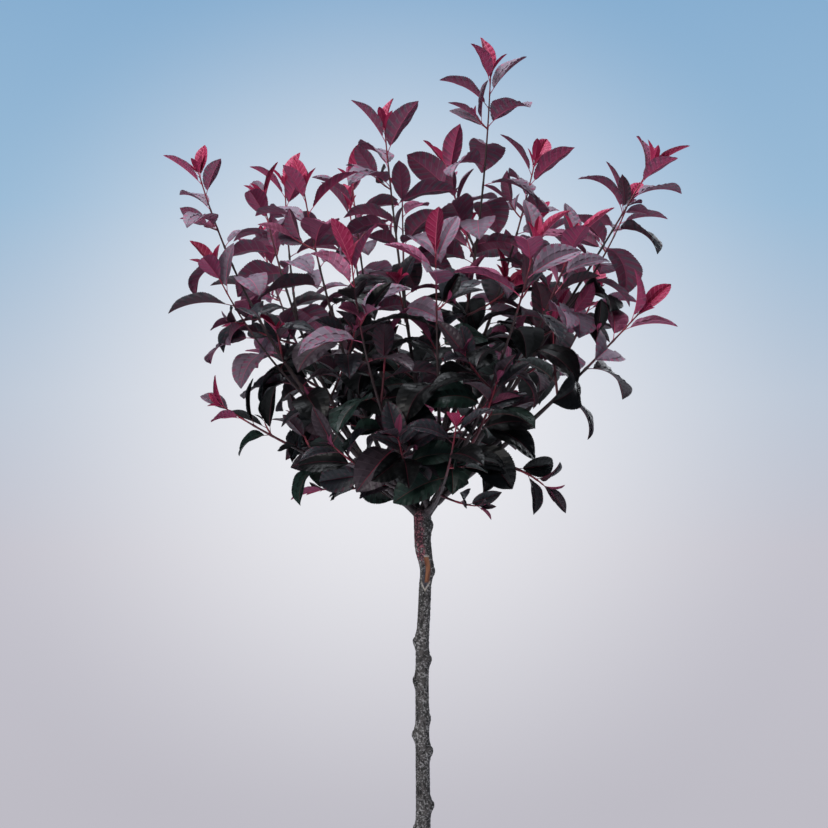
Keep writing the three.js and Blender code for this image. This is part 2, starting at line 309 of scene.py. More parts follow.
class Finish(Nodes):
    """A material, with the nodes that make up its finish."""

    def __init__(self, name, **sockets):
        self.material = bpy.data.materials.new(name)
        self.material.use_nodes = True
        super().__init__(self.material.node_tree)
        self.wear(**sockets)

    def wear(self, **sockets):
        for socket, value in sockets.items():
            self.feed(self.nodes["Principled BSDF"].inputs[socket.replace("_", " ")], value)

    def attribute(self, name):
        return self.node("ShaderNodeAttribute", {"attribute_name": name}, {}, "Fac")

    def grain(self, scale, stretch=(1, 1, 1), detail=3.0):
        place = self.node("ShaderNodeTexCoord", {}, {}, "Object")
        place = self.node("ShaderNodeMapping", {}, {"Vector": place, "Scale": stretch})
        return self.node("ShaderNodeTexNoise", {}, {"Vector": place, "Scale": scale, "Detail": detail}, "Fac")

    def bump(self, height, strength, distance):
        sockets = {"Height": height, "Strength": strength, "Distance": distance}
        return self.node("ShaderNodeBump", {}, sockets, "Normal")


stem_bark = Finish("grey_brown_bark")
blotches = stem_bark.step(stem_bark.grain(120, (1, 1, 0.5)), 0.35, 0.7)
cracks = stem_bark.step(stem_bark.grain(420, (1, 1, 0.35), 5), 0.38, 0.62)
bark_colour = stem_bark.mix(from_srgb(30, 28, 28), from_srgb(82, 77, 76), cracks)
bark_colour = stem_bark.mix(bark_colour, from_srgb(80, 79, 76), blotches * 0.4)
speckle = stem_bark.step(stem_bark.grain(430, (1, 1, 1.5), 2), 0.56, 0.64)
lenticels = stem_bark.attribute("lenticel")
bark_colour = stem_bark.mix(bark_colour, from_srgb(200, 197, 196), lenticels * 0.62)
bark_colour = stem_bark.mix(bark_colour, from_srgb(190, 187, 188), speckle * 0.5)
flakes = stem_bark.attribute("flaking")
red_spots = stem_bark.step(stem_bark.grain(500), 0.5, 0.6)
red_bark = stem_bark.mix(from_srgb(58, 34, 42), from_srgb(170, 100, 112), red_spots)
bark_colour = stem_bark.mix(bark_colour, red_bark, flakes * stem_bark.step(stem_bark.grain(210), 0.36, 0.5))
wood_grain = stem_bark.step(stem_bark.grain(300, (1, 1, 0.2)), 0.35, 0.65)
bare_wood = stem_bark.mix(from_srgb(92, 50, 40), from_srgb(152, 98, 68), wood_grain)
bark_colour = stem_bark.mix(bark_colour, bare_wood, stem_bark.attribute("wood"))
# Painted shade: the sunk cut between the callus arms is coloured dark blue-grey, as the shadow in it
bark_colour = stem_bark.mix(bark_colour, from_srgb(54, 53, 62), stem_bark.attribute("cut") * 0.85)
bark_colour = stem_bark.mix(bark_colour, from_srgb(214, 204, 194), stem_bark.attribute("callus") * 0.95)
bark_bumps = stem_bark.bump(cracks + speckle * 0.6, 0.5, 0.0005)
stem_bark.wear(Base_Color=bark_colour, Roughness=0.88 - 0.2 * cracks, Normal=bark_bumps)

stem = add_tube("stem_with_bark", stem_sides, stem_cuts)
marks_at = []
for vertex in stem.data.vertices:
    angle = math.atan2(vertex.co.y, vertex.co.x)
    height = stem_height * (1 - (0.5 - vertex.co.z) ** rings_gather)
    radius = stem_radius(height, angle)
    place = Vector((radius * math.cos(angle), radius * math.sin(angle), height))
    marks = bark_marks(place, angle)
    radius += bark_relief(place, marks) * smooth(height, 0, relief_fades)
    reach = math.hypot(vertex.co.x, vertex.co.y) * radius
    vertex.co = (stem_centre(height) + Vector((reach * math.cos(angle), reach * math.sin(angle), 0))) * mm
    marks_at.append(marks)
for index, mark in enumerate(("lenticel", "flaking", "wood", "callus", "cut")):
    stem.data.attributes.new(mark, "FLOAT", "POINT").data.foreach_set("value", [m[index] for m in marks_at])
stem.data.materials.append(stem_bark.material)
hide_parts("stem")
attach(stem, "root")


# The limbs. Young boughs of smooth dark purple-brown bark, each a tapering rod with a collar where it springs
# from the stem or from another limb, and old leaf scars along it. They end where they enter the leaves.
limb_foot = 4
limb_taper = 0.86
limb_end = 2.2
limb_sides = 12
limb_ring_every = 2.2
fewest_rings, most_rings = 12, 100
rod_steps = 200
collar_swell = 0.4
collar_length = 9

# Old leaf scars: how far apart, the turn from each to the next, half their height, how far they stand out,
# and the share of their spacing at a limb's end that has none
scar_every = 21
leaf_turn = 137.5
leaf_scar_half = 2.2
leaf_scar_rise = 0.75
scarless_share = 0.3
limb_grain_noise, limb_grain_rise = 0.5, 0.14

# Each shoot: name, what it springs from, where along that, its tip, how far it swings out of the straight
# line, the share of it that is bare limb, and the side that its youngest leaf faces
shoots = [
    ("top", "stem", 0.99, (71, 30, 1268), 0.032, 0.27, 110),
    ("left", "stem", 0.986, (-234, -30, 1154), 0.075, 0.31, 60),
    ("right", "stem", 0.98, (240, 10, 1166), 0.01, 0.36, 0),
    ("front", "stem", 0.984, (110, -150, 1075), 0.06, 0.27, 340),
    ("back", "stem", 0.984, (-84, 215, 1140), 0.08, 0.25, 90),
    ("middle", "top", 0.3, (-41, -10, 1200), 0.01, 0.22, 60),
    ("middle_left", "left", 0.2, (-123, -70, 1132), 0.04, 0.22, 90),
    ("inner_left", "back", 0.36, (-77, 70, 1152), 0.03, 0.18, 300),
    ("left_inner", "left", 0.55, (-171, 40, 1132), 0.05, 0.2, 340),
    ("back_left", "left", 0.36, (-178, 170, 1085), 0.07, 0.22, 30),
    ("front_left", "front", 0.2, (-72, -150, 1053), 0.1, 0.2, 210),
    ("front_middle", "front", 0.5, (11, -130, 1067), 0.04, 0.16, 270),
    ("top_right", "top", 0.62, (120, 80, 1174), 0.03, 0.18, 60),
    ("right_inner", "right", 0.55, (154, -50, 1082), 0.03, 0.45, 340),
    ("right_back", "right", 0.36, (190, 125, 1039), 0.08, 0.6, 100),
    ("lower_right", "right", 0.16, (222, -50, 1008), 0.02, 0.5, 80),
    ("back_right", "back", 0.25, (130, 200, 1120), 0.09, 0.22, 70),
    ("low_right", "lower_right", 0.42, (124, -60, 829), -0.1, 0.3, 80),
    ("low_left", "left", 0.35, (-208, -60, 912), 0.03, 0.3, 320),
    ("low_front_left", "front_left", 0.3, (-92, -118, 872), 0.05, 0.2, 60),
    ("low_front", "front", 0.16, (31, -175, 893), 0.1, 0.25, 255),
    ("low_inner", "front_left", 0.75, (-26, -150, 880), 0.05, 0.2, 225),
    ("inner_right", "front", 0.8, (72, -120, 935), 0.08, 0.2, 300),
    ("low_back_left", "back", 0.12, (-116, 140, 908), 0.08, 0.25, 120),
    ("low_back", "back", 0.6, (8, 195, 905), 0.08, 0.18, 100),
    ("low_back_right", "back_right", 0.4, (90, 150, 913), 0.08, 0.2, 60),
]


class Rod:
    """The line that a limb or a twig grows along, from its start to its tip."""

    def __init__(self, start, tip, bow):
        chord = tip - start
        flat = Vector((chord.x, chord.y, 0)).normalized()
        rise = chord.z / chord.length
        outward = flat * rise - Vector((0, 0, math.sqrt(1 - rise * rise)))
        self.start = start
        self.bend = start.lerp(tip, 0.5) + outward * (2 * bow * chord.length)
        self.tip = tip
        spots = [self.point(step / rod_steps) for step in range(rod_steps + 1)]
        self.length = sum((b - a).length for a, b in zip(spots, spots[1:]))

    def point(self, t):
        return self.start * (1 - t) ** 2 + self.bend * (2 * t * (1 - t)) + self.tip * t**2

    def frame(self, t):
        along = ((self.bend - self.start) * (1 - t) + (self.tip - self.bend) * t).normalized()
        side = Vector((0, 1, 0)).cross(along).normalized()
        return along, side, along.cross(side)

    def branch(self, t, around, angle):
        """Where a twig or leaf heads and faces that stands so far round the rod and out from it."""
        along, side, back = self.frame(t)
        outward = side * math.cos(around) + back * math.sin(around)
        heading = along * math.cos(angle) + outward * math.sin(angle)
        return heading, along * math.sin(angle) - outward * math.cos(angle)


def limb_relief(reach, angle, length):
    """How far a limb's bark stands out: the collar at its foot, its old leaf scars and a fine grain."""
    swell = collar_swell * math.exp(-((reach / collar_length) ** 2)) * limb_foot
    node = round(reach / scar_every)
    if 0 < node < length / scar_every - scarless_share:
        off_node = (reach - node * scar_every) / leaf_scar_half
        facing = max(math.cos(angle - math.radians(leaf_turn * node)), 0)
        swell += leaf_scar_rise * math.exp(-off_node * off_node) * facing**4
    return swell + limb_grain_rise * noise.noise(Vector((reach * limb_grain_noise, angle, length)))


shoot_bark = Finish("shoot_bark", Coat_Weight=0.12, Coat_Roughness=0.5)
streaks = shoot_bark.step(shoot_bark.grain(300, (1, 1, 0.5), 4), 0.35, 0.7)
dots = shoot_bark.step(shoot_bark.grain(700, (1, 1, 1), 2), 0.62, 0.7)
shoot_colour = shoot_bark.mix(from_srgb(36, 27, 30), from_srgb(66, 49, 52), streaks)
shoot_colour = shoot_bark.mix(shoot_colour, from_srgb(128, 112, 108), dots * 0.5)
shoot_bumps = shoot_bark.bump(streaks + dots, 0.4, 0.0003)
shoot_bark.wear(Base_Color=shoot_colour, Roughness=0.72 - 0.2 * streaks, Normal=shoot_bumps)

grown = {}
limb_tubes = []
for name, carrier, at, tip, bow, bare, turn in shoots:
    if carrier == "stem":
        start, foot = stem_centre(at * stem_height), limb_foot
    else:
        start = grown[carrier]["rod"].point(at * grown[carrier]["bare"])
        foot = limb_taper * lerp(grown[carrier]["foot"], limb_end, at)
    rod = Rod(start, Vector(tip), bow)
    grown[name] = {"rod": rod, "foot": foot, "bare": bare, "turn": turn}
    length = rod.length * bare
    rings = int(clamp(length / limb_ring_every, fewest_rings, most_rings))
    limb = add_tube("limb", limb_sides, [rings - 1])
    for vertex in limb.data.vertices:
        angle = math.atan2(vertex.co.y, vertex.co.x)
        share = vertex.co.z + 0.5
        along, side, back = rod.frame(share * bare)
        radius = lerp(foot, limb_end, share) + limb_relief(share * length, angle, length)
        reach = radius * math.hypot(vertex.co.x, vertex.co.y)
        outward = side * (reach * math.sin(angle)) + back * (reach * math.cos(angle))
        vertex.co = (rod.point(share * bare) + outward) * mm
    limb_tubes.append(limb)

bpy.ops.object.select_all(action="DESELECT")
for limb in limb_tubes:
    limb.select_set(True)
bpy.context.view_layer.objects.active = limb_tubes[0]
bpy.ops.object.join()
limbs = bpy.context.object
limbs.name = "limbs_with_bark"
bpy.ops.object.mode_set(mode="EDIT")
bpy.ops.mesh.select_all(action="SELECT")
bpy.ops.mesh.normals_make_consistent(inside=False)
bpy.ops.object.mode_set(mode="OBJECT")
limbs.data.materials.append(shoot_bark.material)
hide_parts(*["limb_" + name for name in grown])
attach(limbs, "root")


# The twigs. Each limb goes on as a leafy shoot, brown below and red towards its soft tip, with longer side
# twigs, leafy spurs and finer spurlets. They branch by the source's rule, from the same seeds.
gap_after_limb = 0.3
twig_steps = 7
twig_tip = 1.2
twig_radius = 1.5
root_clearance = 8
side_bow = 0.05
side_vigour = 0.95

# Nothing hangs below the floor of the crown, which is lower further out to the right
crown_floor = 807
outer_floor = 778
floor_reach = 95

# Short leafy spurs on the lower part of a shoot
spur_share = 0.55
spur_first = 24
spur_spacing = 62
spur_turn = 65
spur_varies = 30
spur_angle = math.radians(51.6)
spur_length = (42, 74)
spur_bow = 0.04
spur_vigour = 0.86
spur_steps = 3

# Shoots that bear smaller leaves than the rest
vigour_of = {
    "left": 0.8,
    "left_inner": 0.82,
    "inner_left": 0.88,
    "low_left": 0.72,
    "low_right": 0.72,
    "low_front_left": 0.84,
    "low_front": 0.82,
    "low_inner": 0.82,
    "inner_right": 0.88,
    "low_back_left": 0.86,
    "low_back": 0.86,
    "low_back_right": 0.86,
}

# Longer side twigs of a shoot: where along its leafy part, and the twig's own tip
side_twigs = {
    "top": [(0.45, (26, 100, 1173))],
    "left": [(0.08, (-213, -65, 1049))],
    "right": [(0.3, (220, 60, 1130))],
    "middle": [(0.36, (-23, 50, 1138))],
    "left_inner": [(0.45, (-150, 75, 1150))],
}


def dice_from(seed):
    """Numbers from 0 to 1 that come up the same on every run."""
    state = seed * 7919 + 17
    while True:
        state = state * 16807 % 2147483647
        yield state / 2147483647


class Solid:
    """A plain closed shape that holds its space in the crown."""

    def __init__(self, corners, faces):
        self.tree = BVHTree.FromPolygons(corners, faces)
        spots = np.array([tuple(corner) for corner in corners])
        self.low = spots.min(axis=0)
        self.high = spots.max(axis=0)


placed = []
placed_low = np.empty((0, 3))
placed_high = np.empty((0, 3))


def put(solid):
    """Takes up a solid's space in the crown."""
    global placed_low, placed_high
    placed.append(solid)
    placed_low = np.vstack([placed_low, solid.low])
    placed_high = np.vstack([placed_high, solid.high])


def touches(solid, carrier):
    """Whether a solid hangs too low, or runs into one that is there and isn't the twig that carries it."""
    middle = (solid.low + solid.high) / 2
    if solid.low[2] < (outer_floor if middle[0] > floor_reach else crown_floor):
        return True
    near = np.all((placed_low <= solid.high) & (solid.low <= placed_high), axis=1)
    return any(placed[i] is not carrier and placed[i].tree.overlap(solid.tree) for i in np.flatnonzero(near))


def tube_wall(sides, parts, first=0):
    """The faces of a tube's wall, whose rings of corners follow each other from a first one."""
    faces = []
    for ring in range(first, first + parts * sides, sides):
        for corner in range(sides):
            a, b = ring + corner, ring + (corner + 1) % sides
            faces.append((a, b, b + sides, a + sides))
    return faces


def twig_solid(rod, start, start_radius, steps):
    """A twig as its source has it, a tapering rod of three sides."""
    corners = []
    for step in range(steps + 1):
        share = step / steps
        _, side, back = rod.frame(lerp(start, 1, share))
        radius = lerp(start_radius, twig_tip, share)
        for corner in range(3):
            angle = 2 * math.pi * corner / 3
            corners.append(rod.point(lerp(start, 1, share)) + side * (radius * math.cos(angle))
                           + back * (radius * math.sin(angle)))
    ends = [(0, 2, 1), (3 * steps, 3 * steps + 1, 3 * steps + 2)]
    return Solid(corners, tube_wall(3, steps) + ends)


def new_twig(rod, start, vigour, radius, steps):
    """A twig along a rod, from a share of its length, with leaves from a little further on."""
    bare = start + root_clearance / rod.length
    return {"rod": rod, "from": start, "bare": bare, "vigour": vigour, "radius": radius, "nodes": [],
            "solid": twig_solid(rod, start, radius, steps)}


def add_spur(mass, carrier, t, around, angle, length, vigour, radius, steps):
    """Puts a short side shoot on a twig and returns it, or nothing if it has no room."""
    start = carrier["rod"].point(t)
    heading, _ = carrier["rod"].branch(t, around, angle)
    spur = new_twig(Rod(start, start + heading * length, spur_bow), 0, vigour, radius, steps)
    if touches(spur["solid"], carrier["solid"]):
        return None
    mass["twigs"].append(spur)
    put(spur["solid"])
    return spur


for node_name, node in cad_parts.items():
    if not node_name.startswith("leaves_"):
        corners = [vertex.co / mm for vertex in node.data.vertices]
        put(Solid(corners, [tuple(face.vertices) for face in node.data.polygons]))

masses = []
for index, (name, shoot) in enumerate(grown.items()):
    rod = shoot["rod"]
    leafy_from = shoot["bare"] + gap_after_limb / rod.length
    twigs = [new_twig(rod, leafy_from, vigour_of.get(name, 1), limb_end, twig_steps)]
    for at, tip in side_twigs.get(name, []):
        side_rod = Rod(rod.point(lerp(leafy_from, 1, at)), Vector(tip), side_bow)
        twigs.append(new_twig(side_rod, 0, side_vigour, twig_radius, twig_steps))
    for twig in twigs:
        put(twig["solid"])
    masses.append({"name": name, "turn": shoot["turn"], "dice": dice_from(index + 1), "from": leafy_from,
                   "twigs": twigs})

for mass in masses:
    main = mass["twigs"][0]
    leafy = main["rod"].length * (1 - mass["from"])
    for index in range(int(spur_share * leafy / spur_spacing)):
        longer, turned = next(mass["dice"]), next(mass["dice"])
        around = math.radians(mass["turn"] + spur_turn + index * leaf_turn + spur_varies * turned)
        t = lerp(mass["from"], 1, (spur_first + index * spur_spacing) / leafy)
        length = lerp(*spur_length, longer)
        vigour = spur_vigour * main["vigour"]
        add_spur(mass, main, t, around, spur_angle, length, vigour, twig_radius, spur_steps)


# The leaves. Thin, tough, finely toothed ovals on short red stalks, folded along the midrib and arched over,
# crimson while they are young. They stand by the source's rule. Light and shade are painted into their
# colours:
# pale mauve with a painted sheen in the light, and almost black with painted shade inside the crown.
leaf_length = 73
young_share = 0.7
width_share = 0.56
young_width_share = 0.46
leaf_fold = math.radians(20)
leaf_thickness = 1.6
widest = 0.56
thickest = 0.32
sunk = 0.2

# How leaves are spaced along a twig, how they turn from upright and straight when young to level and arched
# when full grown, and how much that varies from leaf to leaf
habit_first = 4
habit_spacing = 21
young_spacing = 8
young_reach = 45
young_angle, old_angle = 22, 60
young_bend, old_bend = 12, 82
least_bend = 0.01
young_lift = 0.2
age_reach = 105
leaf_turn_spread = 12
leaf_angle_spread = 9
leaf_roll_spread = 30
length_spread = 0.12
bend_spread = 0.35
faces_up = 0.5
nearest_tip, nearest_foot = 0.985, 0.02
ageing = 0.7

# A full-grown leaf's own rise, low in the crown and high in it, and how strongly it takes that
hanging_below, level_above = 830, 930
hanging_rise, level_rise = -0.4, 0.3
levelling = 0.5

# How many places a leaf tries, how far apart they are round its twig, and the room that it needs
retries = 5
retry_turn = 52
clearance = 1.0


def leaf_plan(twig, from_tip, turn, dice):
    """Where a leaf roots, heads and faces, and how big and bent it is, from its place on its twig."""
    draws = [2 * next(dice) - 1 for _ in range(5)]
    rod = twig["rod"]
    t = clamp(1 - from_tip / rod.length, nearest_foot, nearest_tip)
    age = clamp(from_tip / age_reach) ** ageing
    around = math.radians(turn + leaf_turn_spread * draws[0])
    angle = math.radians(lerp(young_angle, old_angle, age) + leaf_angle_spread * draws[1])
    heading, face = rod.branch(t, around, angle)
    height = clamp((rod.point(t).z - hanging_below) / (level_above - hanging_below))
    rise = lerp(hanging_rise, level_rise, height)
    heading.z = lerp(heading.z + young_lift * (1 - age), rise, levelling * age)
    heading.normalize()
    face += Vector((0, 0, faces_up))
    face = (face - heading * face.dot(heading)).normalized()
    face = Quaternion(heading, math.radians(leaf_roll_spread * draws[2])) @ face
    grown_up = clamp(from_tip / young_reach)
    length = twig["vigour"] * leaf_length * lerp(young_share, 1, grown_up) * (1 + length_spread * draws[3])
    bend = math.radians(lerp(young_bend, old_bend, age) * (1 + bend_spread * draws[4]))
    width = length * lerp(young_width_share, width_share, grown_up)
    axis = rod.frame(clamp(1 - from_tip / rod.length))[0]
    return {"root": rod.point(t), "along": heading, "face": face, "length": length, "width": width,
            "bend": max(bend, least_bend), "age": age, "from_tip": from_tip, "axis": axis, "t": t}


# The faces of the plain blade between its corners: root, two edges, upper and under side, and tip
blade_faces = [(0, 1, 3), (0, 3, 2), (1, 5, 3), (3, 5, 2), (0, 4, 1), (0, 2, 4), (1, 4, 5), (2, 5, 4)]


def leaf_solid(plan, spare):
    """A leaf as its source has it, a folded blade of eight faces, with so much spare room round it."""
    along, face, bend, length = plan["along"], plan["face"], plan["bend"], plan["length"]
    side = along.cross(face)
    half = plan["width"] / 2 + spare
    thick = leaf_thickness / 2 + spare

    def spot(t, across, raised):
        turned, radius = bend * t, length / bend
        point = plan["root"] + along * (radius * math.sin(turned)) - face * (radius * (1 - math.cos(turned)))
        return point + side * across + (face * math.cos(turned) + along * math.sin(turned)) * raised

    corners = [
        plan["root"] - along * sunk,
        spot(widest, half * math.cos(leaf_fold), half * math.sin(leaf_fold)),
        spot(widest, -half * math.cos(leaf_fold), half * math.sin(leaf_fold)),
        spot(thickest, 0, thick),
        spot(thickest, 0, -thick),
        spot(1 + spare / length, 0, 0),
    ]
    return Solid(corners, blade_faces)


def add_leaf(mass, twig, from_tip, turn, dice, older=0):
    """Puts a leaf where it has room, turned a little further round its twig at each try, or leaves it out."""
    plan = leaf_plan(twig, from_tip, turn, dice)
    plan["from_tip"] += older
    for attempt in range(retries):
        if not touches(leaf_solid(plan, clearance), twig["solid"]):
            put(leaf_solid(plan, 0))
            mass["leaves"].append(plan)
            twig["nodes"].append(plan["t"])
            return
        turned = math.radians(retry_turn * (attempt + 1) * (1 if attempt % 2 else -1))
        plan["along"] = Quaternion(plan["axis"], turned) @ plan["along"]
        plan["face"] = Quaternion(plan["axis"], turned) @ plan["face"]


for mass in masses:
    mass["leaves"] = []
    for twig_index, twig in enumerate(mass["twigs"]):
        from_tip, count = habit_first, 0
        while from_tip < twig["rod"].length * (1 - twig["bare"]):
            turn = mass["turn"] + twig_index * spur_turn + count * leaf_turn
            add_leaf(mass, twig, from_tip, turn, mass["dice"])
            from_tip += lerp(young_spacing, habit_spacing, clamp(from_tip / young_reach))
            count += 1

# Finer spurlets carry the rule on: short shoots out of the older wood, each with a few smaller leaves
spurlet_first = 62
spurlet_spacing = 62
spurlet_turn = 90
spurlet_angle = math.radians(48)
spurlet_length = (12, 26)
spurlet_radius = 0.9
spurlet_steps = 2
spurlet_vigour = 0.8
# How far from its tip a spurlet's leaves root, and how much older they are than others so near a tip
spurlet_leaves = (3, 9, 16)
spurlet_age = 45

for mass in masses:
    for twig_index, twig in enumerate(list(mass["twigs"])):
        rod = twig["rod"]
        from_tip, count = spurlet_first, 0
        while from_tip < rod.length * (1 - twig["bare"]):
            length = lerp(*spurlet_length, next(mass["dice"]))
            around = math.radians(mass["turn"] + spurlet_turn + count * leaf_turn + twig_index * spur_turn)
            spurlet = add_spur(mass, twig, 1 - from_tip / rod.length, around, spurlet_angle, length,
                               spurlet_vigour, spurlet_radius, spurlet_steps)
            for leaf, leaf_at in enumerate(spurlet_leaves if spurlet else ()):
                leaf_around = math.degrees(around) + leaf * leaf_turn
                add_leaf(mass, spurlet, leaf_at, leaf_around, mass["dice"], spurlet_age)
            from_tip += spurlet_spacing
            count += 1

# The newest leaves stand close together at a tip, small, narrow and upright, with thin stipules among them
tuft_leaves = 4
fine_tuft_leaves = 2
tuft_angle = 15
tuft_angle_spread = 12
tuft_length = (15, 35)
tuft_width = 0.42
tuft_at = (0.98, 0.995)
tuft_bend = (0.1, 0.5)
tuft_spin = 200
fine_tuft = 0.6
fine_tuft_age = 30
stipules = 4
stipule_length = (6, 12)
stipule_width = 0.14
stipule_spin = 60


def add_tuft(mass, twig, count, size, width_share, spin):
    """A cluster of small upright blades round the tip of a twig."""
    fine = twig["radius"] < twig_radius
    for leaf in range(count):
        around = math.radians(mass["turn"] + spin + leaf * leaf_turn)
        longer = next(mass["dice"])
        heading, face = twig["rod"].branch(1, around, math.radians(tuft_angle + tuft_angle_spread * longer))
        length = lerp(*size, longer) * twig["vigour"] * (fine_tuft if fine else 1)
        mass["leaves"].append({
            "root": twig["rod"].point(lerp(*tuft_at, longer)), "along": heading, "face": face,
            "length": length, "width": width_share * length, "bend": lerp(*tuft_bend, longer),
            "age": 0, "from_tip": fine_tuft_age if fine else 0,
        })


for mass in masses:
    for twig in mass["twigs"]:
        if twig["radius"] < twig_radius:
            add_tuft(mass, twig, fine_tuft_leaves, tuft_length, tuft_width, tuft_spin)
        else:
            add_tuft(mass, twig, tuft_leaves, tuft_length, tuft_width, tuft_spin)
            add_tuft(mass, twig, stipules, stipule_length, stipule_width, stipule_spin)

# A blade's rows run forward from its midrib as the side veins do. A row is where it leaves the midrib and how
# far the blade puffs up there. Two rows close together are a side vein, and small blades have none.
stalk_share = 0.14
vein_pairs = 7
first_vein = 0.07
vein_spacing = 0.125
vein_half = 0.0055
forward = 0.6
end_puff = 0.3
last_row = 0.965
rows_of_full = [(0.0, end_puff)]
for pair in range(vein_pairs):
    vein_at = first_vein + pair * vein_spacing
    rows_of_full += [(vein_at - vein_half, 0.0), (vein_at + vein_half, 0.0)]
    rows_of_full.append((vein_at + vein_spacing / 2, 1.0))
rows_of_full.append((last_row, end_puff))
rows_of_small = [(at, end_puff) for at in (0.0, 0.2, 0.45, 0.7, 0.9)]
small_below = 34
# Where lines of spots run along each half of a full blade, and how many steps a row's rim has, for its teeth
full_lines, full_teeth = (0.35, 0.7), 4
small_lines, small_teeth = (), 2
upper_face, pale_face, under_face, vein_face = 0, 1, 2, 3


def blade_pattern(rows, outs, teeth):
    """The spots of a closed blade, its faces and their slots: veins on both its sides, teeth along its rim.

    A spot is its row's share of the midrib, its side, how far out it lies, its layer (1 above, -1 below, 0 at
    the rim), its puff and its tooth, and a number that a spot above and the one below it share.
    """
    spots, faces, slots = [], [], []

    def spot(row, side, out, layer, puff, tooth=0):
        spots.append((row, side, out, layer, puff, tooth))
        return len(spots) - 1

    def is_vein(row):
        return row + 1 < len(rows) and rows[row][1] == 0 and rows[row + 1][1] == 0

    rims = []
    for row, (at, puff) in enumerate(rows):
        ahead = rows[row + 1][0] if row + 1 < len(rows) else at
        steps = 1 if is_vein(row) or row + 1 == len(rows) else teeth
        rims.append([[spot(lerp(at, ahead, k / steps), side, 1, 0, puff, k % 2) for k in range(steps)]
                     for side in (-1, 1)])
    apex = spot(1, 0, 0, 0, 0)
    foot = []
    across = [(-1, out) for out in outs] + [(-1, 0), (0, 0), (1, 0)] + [(1, out) for out in reversed(outs)]
    for layer in (1, -1):
        grid = [[spot(at, side, out, layer, puff) for side, out in across] for at, puff in rows]
        foot.append(grid[0])
        plain = upper_face if layer > 0 else under_face
        layer_faces = []
        for row, (here, ahead) in enumerate(zip(grid, grid[1:])):
            left, right = [rims[row][side] + [rims[row + 1][side][0]] for side in (0, 1)]
            colour = pale_face if is_vein(row) else plain
            layer_faces.append(((here[0], ahead[0], *reversed(left)), colour))
            layer_faces.append(((here[-1], *right, ahead[-1]), colour))
            for column in range(len(across) - 1):
                slot = vein_face if column in (len(outs), len(outs) + 1) else colour
                layer_faces.append(((here[column], here[column + 1], ahead[column + 1], ahead[column]), slot))
        end = [rims[-1][0][0], *grid[-1], rims[-1][1][0]]
        layer_faces += [((a, b, apex), plain) for a, b in zip(end, end[1:])]
        faces += [corners if layer > 0 else corners[::-1] for corners, _ in layer_faces]
        slots += [slot for _, slot in layer_faces]
    faces.append((rims[0][1][0], *reversed(foot[0]), rims[0][0][0], *foot[1]))
    slots.append(vein_face)
    spots = np.array(spots, dtype=float).T
    place = np.unique(spots[:3], axis=1, return_inverse=True)[1].reshape(-1)
    return (*spots, place), faces, slots


full_blade = blade_pattern(rows_of_full, full_lines, full_teeth)
small_blade = blade_pattern(rows_of_small, small_lines, small_teeth)

# The stalk: a thin rod from inside the twig to inside the blade's base. A ring is its share of the leaf's
# length and its radius. The rings run the other way round than a twig's, so the faces are turned over.
stalk_sides = 5
stalk_drop = 0.15
stalk_rings = [(0.0, 0.7), (0.05, 0.5), (0.1, 0.45), (0.17, 0.42)]
stalk_faces = [(face[0], *face[:0:-1]) for face in tube_wall(stalk_sides, len(stalk_rings) - 1)]
stalk_faces.append(tuple(range(stalk_sides)))
last_ring = (len(stalk_rings) - 1) * stalk_sides
stalk_faces.append(tuple(reversed(range(last_ring, last_ring + stalk_sides))))
stalk_slots = [vein_face] * len(stalk_faces)
stalk_at = np.repeat([ring[0] for ring in stalk_rings], stalk_sides)
stalk_out = np.repeat([ring[1] for ring in stalk_rings], stalk_sides)
stalk_turn = np.tile(np.arange(stalk_sides) * 2 * math.pi / stalk_sides, len(stalk_rings))

# The blade's outline is a long ellipse, fullest near its middle, with a drawn-out tip, and wider with age
real_width = (0.86, 1.02)
base_power, tip_power = 0.85, 0.95
peak = base_power / (base_power + tip_power)
tip_drawn_in, tip_length = 0.35, 0.09

# The relief of a leaf of full length, in millimetres. A pair is for a young leaf and an old one, and a fade
# is the share that is lost by the tip.
midrib_half, midrib_fade = 0.7, 0.7
tooth_depth, tooth_fade, tooth_lean = 1.5, 0.75, 0.006
blade_half_thickness = 0.17
keel_depth, keel_fade = 0.5, 0.7
groove_depth = 0.15
puff_height = 1.4
wave_height, wave_fade = (0.5, 1.5), 0.7
wave_count, wave_count_spread = 2.2, 0.6
tip_droop = (0.4, 3.2)
wrinkle, wrinkle_fade = 0.55, 0.6
wrinkle_by_vein = 0.3
wrinkle_dice = np.random.default_rng(5)

# The blade's fold in degrees, how much of it is lost by the rim, and how far a blade may twist
blade_fold, fold_spread = (42, 17), 6
rim_flatter = 0.3
twist_spread = 14


def along_leaf(plan, t, across, raised, twist):
    """Points at shares of a leaf's length, so far across it and above it, in millimetres."""
    along, face = np.array(plan["along"]), np.array(plan["face"])
    side = np.cross(along, face)
    turned, radius = (plan["bend"] * t)[:, None], plan["length"] / plan["bend"]
    spine = np.array(plan["root"]) + along * radius * np.sin(turned) - face * radius * (1 - np.cos(turned))
    face = face * np.cos(turned) + along * np.sin(turned)
    lean = (twist * t)[:, None]
    across, raised = across[:, None], raised[:, None]
    return (spine + side * (across * np.cos(lean) - raised * np.sin(lean))
            + face * (across * np.sin(lean) + raised * np.cos(lean)))


